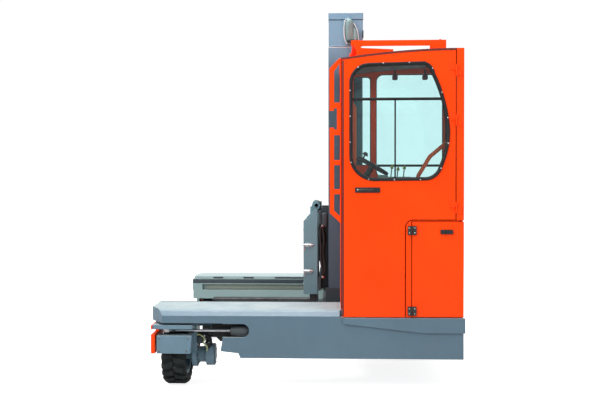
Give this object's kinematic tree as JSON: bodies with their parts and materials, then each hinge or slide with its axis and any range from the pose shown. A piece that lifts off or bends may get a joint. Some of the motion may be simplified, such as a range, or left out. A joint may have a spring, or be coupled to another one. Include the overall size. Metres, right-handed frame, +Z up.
{
  "type": "multidirectional forklift",
  "caption": "Electric four-way reach truck with a closed side cab, load arms, a sliding lift mast with tilting forks and steered drive wheels.",
  "frame": {"origin": "on the floor under the middle of the truck's bounding box", "axes": "+X to the rear (forks point to -X), -Y to the cab side, +Z up"},
  "size_m": [2.31, 2.38, 2.906],
  "materials": {
    "orange_paint": "glossy orange enamel",
    "grey_paint": "satin blue-grey enamel",
    "mast_paint": "satin blue-grey enamel, greased tracks",
    "dark_steel": "dark forged steel",
    "black_plastic": "black moulded plastic",
    "rubber_seal": "black rubber",
    "tyre_rubber": "solid tyre rubber",
    "rod_chrome": "ground chrome rod",
    "window_glass": "clear safety glass",
    "seat_fabric": "black woven seat cover",
    "battery_case": "battery trough, closed inside"
  },
  "bodies": {
    "chassis": {"near_arm": "grey_paint", "far_arm": "grey_paint", "far_deck_plate": "grey_paint", "rear_crossmember": "grey_paint", "step_bumpers": "grey_paint", "steer_barrels": "grey_paint", "cab_roof": "orange_paint", "cab_front_wall": "orange_paint", "cab_inner_wall": "orange_paint", "cab_rear_wall": "orange_paint", "cab_glass": "window_glass", "cab_floor": "rubber_seal", "seat_deck": "orange_paint", "roof_guard": "orange_paint", "mast_side_guard": "orange_paint", "seat_cushion": "seat_fabric", "seat_back": "seat_fabric", "steering_console": "black_plastic", "cab_steering_wheel": "black_plastic", "grab_rails": "orange_paint", "cab_hinges": "orange_paint", "compartment_hinges": "black_plastic", "battery_hood": "grey_paint", "battery_block": "battery_case"},
    "door": {"cab_door": "orange_paint", "door_window_frame": "rubber_seal", "door_glass": "window_glass", "door_handle": "black_plastic", "door_hinges": "orange_paint"},
    "compartment": {"compartment_door": "orange_paint", "compartment_fittings": "black_plastic"},
    "mast": {"reach_carriage": "mast_paint", "outer_mast": "mast_paint", "lift_cylinders": "mast_paint"},
    "mast_stage": {"inner_mast": "mast_paint", "lift_rods": "rod_chrome", "hose_sheave": "black_plastic"},
    "carriage": {"lift_carriage": "mast_paint"},
    "forks": {"fork_frame": "grey_paint", "fork_near": "dark_steel", "fork_far": "dark_steel"},
    "rod_near": {"steer_rod_near": "rod_chrome"},
    "rod_far": {"steer_rod_far": "rod_chrome"},
    "steer_near": {"knuckle_near": "grey_paint", "wheel_guard_near": "orange_paint"},
    "wheel_near": {"rim_near": "grey_paint", "tyre_near": "tyre_rubber"},
    "steer_far": {"knuckle_far": "grey_paint", "wheel_guard_far": "orange_paint"},
    "wheel_far": {"rim_far": "grey_paint", "tyre_far": "tyre_rubber"},
    "steer_rear": {"knuckle_rear": "grey_paint", "wheel_guard_rear": "orange_paint"},
    "wheel_rear": {"rim_rear": "grey_paint", "tyre_rear": "tyre_rubber"}
  },
  "joints": [
    {"name": "mast_reach", "type": "slide", "parent": "chassis", "child": "mast", "axis": [-1, 0, 0], "range_m": [0, 0.95]},
    {"name": "mast_lift", "type": "slide", "parent": "mast", "child": "mast_stage", "axis": [0, 0, 1], "range_m": [0, 1.5]},
    {"name": "carriage_lift", "type": "slide", "parent": "mast_stage", "child": "carriage", "axis": [0, 0, 1], "range_m": [0, 1.5]},
    {"name": "fork_tilt", "type": "hinge", "parent": "carriage", "child": "forks", "pos_m": [0.06, 0, 1.335], "axis": [0, 1, 0], "range_deg": [0, 5]},
    {"name": "steer_near", "type": "hinge", "parent": "chassis", "child": "steer_near", "pos_m": [-0.978, -0.945, 0.5], "axis": [0, 0, 1], "range_deg": [-10, 90]},
    {"name": "steer_far", "type": "hinge", "parent": "chassis", "child": "steer_far", "pos_m": [-0.978, 0.945, 0.5], "axis": [0, 0, -1], "range_deg": [-10, 90]},
    {"name": "steer_rear", "type": "hinge", "parent": "chassis", "child": "steer_rear", "pos_m": [0.8, 0, 0.5], "axis": [0, 0, 1], "range_deg": [-95, 95]},
    {"name": "wheel_near_spin", "type": "hinge", "parent": "steer_near", "child": "wheel_near", "pos_m": [-0.978, -0.945, 0.222], "axis": [1, 0, 0], "continuous": true},
    {"name": "wheel_far_spin", "type": "hinge", "parent": "steer_far", "child": "wheel_far", "pos_m": [-0.978, 0.945, 0.222], "axis": [1, 0, 0], "continuous": true},
    {"name": "wheel_rear_spin", "type": "hinge", "parent": "steer_rear", "child": "wheel_rear", "pos_m": [0.8, 0, 0.222], "axis": [1, 0, 0], "continuous": true},
    {"name": "rod_near_slide", "type": "slide", "parent": "chassis", "child": "rod_near", "axis": [1, 0, 0], "range_m": [-0.025, 0.224]},
    {"name": "rod_far_slide", "type": "slide", "parent": "chassis", "child": "rod_far", "axis": [1, 0, 0], "range_m": [-0.025, 0.224]},
    {"name": "cab_door_hinge", "type": "hinge", "parent": "chassis", "child": "door", "pos_m": [1.09, -1.184, 1.5], "axis": [0, 0, 1], "range_deg": [0, 95]},
    {"name": "compartment_hinge", "type": "hinge", "parent": "chassis", "child": "compartment", "pos_m": [0.77, -1.1845, 0.9], "axis": [0, 0, -1], "range_deg": [0, 110]}
  ],
  "couplings": [
    {"joint": "carriage_lift", "follows": "mast_lift", "ratio": 1},
    {"joint": "rod_near_slide", "follows": "steer_near", "m_per_rad": 0.142},
    {"joint": "rod_far_slide", "follows": "steer_far", "m_per_rad": 0.142}
  ]
}
